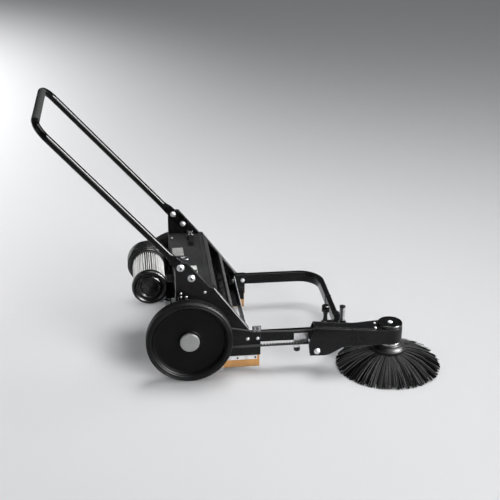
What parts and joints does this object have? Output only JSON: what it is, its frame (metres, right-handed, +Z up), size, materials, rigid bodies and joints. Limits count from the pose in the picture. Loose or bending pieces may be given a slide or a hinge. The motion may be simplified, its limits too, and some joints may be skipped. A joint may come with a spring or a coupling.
{
  "type": "walk-behind push sweeper",
  "caption": "Walk-behind push sweeper with two wheels, a U handle, a roller brush, a cartridge dust filter and a side brush on a lifting arm.",
  "frame": {"origin": "middle of the bounding box, on the floor", "axes": "+X forward, +Y to the machine's left, +Z up"},
  "size_m": [1.376, 0.798, 0.926],
  "materials": {
    "black_steel": "satin black powder coat",
    "cover_steel": "satin dark grey powder coat",
    "zinc": "bright zinc plate",
    "steel_shaft": "bare ground steel",
    "clamp_aluminium": "mill finish",
    "tan_rubber": "natural tan rubber sheet",
    "belt_rubber": "matte black",
    "tyre_rubber": "matte black",
    "black_plastic": "fine grained black",
    "gloss_cap": "glossy black",
    "hub_grey": "light grey",
    "grip_foam": "dark grey sleeve",
    "filter_paper": "white pleated paper",
    "bristle": "black nylon filament",
    "label_film": "blank printed film"
  },
  "bodies": {
    "chassis": {"right_plate": "black_steel", "left_plate": "black_steel", "top_cover": "cover_steel", "rear_wall": "black_steel", "front_panel": "black_steel", "mouth_strip": "black_steel", "brush_hood": "black_steel", "handle_tube": "black_steel", "handle_grip": "grip_foam", "handle_bolts": "zinc", "front_frame": "black_steel", "frame_bolts": "zinc", "stub_axles": "steel_shaft", "axle_nuts": "zinc", "shaft_bearings": "steel_shaft", "side_skirts": "tan_rubber", "rear_skirt": "tan_rubber", "skirt_clamps": "clamp_aluminium", "skirt_screws": "zinc", "skirt_ring": "zinc", "plate_screws": "zinc", "cover_labels": "label_film", "cover_ring": "black_plastic", "fan_housing": "black_plastic", "fan_bracket": "black_steel", "filter_cartridge": "filter_paper", "filter_cap": "black_plastic", "filter_cradle": "black_steel", "fan_drive_belts": "belt_rubber", "belt_guides": "zinc", "side_belt_rear": "belt_rubber", "arm_bracket": "black_steel", "arm_pivot_bolt": "zinc", "lock_bracket": "zinc", "lock_spring": "steel_shaft", "stop_clamp": "zinc", "latch_base": "zinc"},
    "right_wheel": {"right_tyre": "tyre_rubber", "right_disc": "black_plastic", "right_hub_cap": "hub_grey", "right_pulley": "black_plastic"},
    "left_wheel": {"left_tyre": "tyre_rubber", "left_disc": "black_plastic", "left_hub_cap": "hub_grey", "left_gear": "steel_shaft"},
    "main_brush": {"brush_core": "black_plastic", "brush_bristles": "bristle", "brush_shaft": "steel_shaft"},
    "lay_shaft_body": {"lay_shaft": "steel_shaft"},
    "fan": {"fan_impeller": "black_plastic"},
    "side_arm": {"arm_cover": "black_steel", "arm_cap": "gloss_cap", "side_belt_front": "belt_rubber"},
    "side_brush": {"side_spindle": "steel_shaft", "side_disc": "black_plastic", "side_bristles": "bristle"},
    "latch": {"latch_lever": "black_plastic"},
    "clip": {"filter_clip": "zinc"},
    "stop_screw": {"stop_knob": "black_plastic"},
    "lock_screw": {"lock_knob": "black_plastic"}
  },
  "joints": [
    {"name": "right_wheel_spin", "type": "hinge", "parent": "chassis", "child": "right_wheel", "pos_m": [-0.204, -0.236, 0.15], "axis": [0, 1, 0], "continuous": true},
    {"name": "left_wheel_spin", "type": "hinge", "parent": "chassis", "child": "left_wheel", "pos_m": [-0.204, 0.376, 0.15], "axis": [0, 1, 0], "continuous": true},
    {"name": "main_brush_spin", "type": "hinge", "parent": "chassis", "child": "main_brush", "pos_m": [-0.124, 0.049, 0.097], "axis": [0, 1, 0], "continuous": true},
    {"name": "lay_shaft_spin", "type": "hinge", "parent": "chassis", "child": "lay_shaft_body", "pos_m": [-0.184, 0.239, 0.265], "axis": [0, 1, 0], "continuous": true},
    {"name": "fan_spin", "type": "hinge", "parent": "chassis", "child": "fan", "pos_m": [-0.33, 0.129, 0.286], "axis": [0, 1, 0], "continuous": true},
    {"name": "side_arm_lift", "type": "hinge", "parent": "chassis", "child": "side_arm", "pos_m": [0.237, -0.226, 0.092], "axis": [0, -1, 0], "range_deg": [0, 15]},
    {"name": "side_brush_spin", "type": "hinge", "parent": "side_arm", "child": "side_brush", "pos_m": [0.502, -0.213, 0.064], "axis": [0, 0, 1], "continuous": true},
    {"name": "cover_latch", "type": "hinge", "parent": "chassis", "child": "latch", "pos_m": [-0.166, 0.233, 0.338], "axis": [-1, 0, 0], "range_deg": [0, 80]},
    {"name": "filter_clip_swing", "type": "hinge", "parent": "chassis", "child": "clip", "pos_m": [-0.265, -0.06, 0.234], "axis": [0, -1, 0], "range_deg": [0, 75]},
    {"name": "stop_screw_turn", "type": "hinge", "parent": "chassis", "child": "stop_screw", "pos_m": [0.177, -0.188, 0.082], "axis": [0, 0, 1], "range_deg": [-180, 180]},
    {"name": "lock_screw_turn", "type": "hinge", "parent": "chassis", "child": "lock_screw", "pos_m": [0.296, -0.086, 0.14], "axis": [0, 0, 1], "range_deg": [-180, 180]}
  ],
  "couplings": [
    {"joint": "main_brush_spin", "follows": "left_wheel_spin", "ratio": -3},
    {"joint": "lay_shaft_spin", "follows": "left_wheel_spin", "ratio": 2.8593},
    {"joint": "fan_spin", "follows": "left_wheel_spin", "ratio": 6.562},
    {"joint": "side_brush_spin", "follows": "right_wheel_spin", "ratio": 2.363}
  ]
}
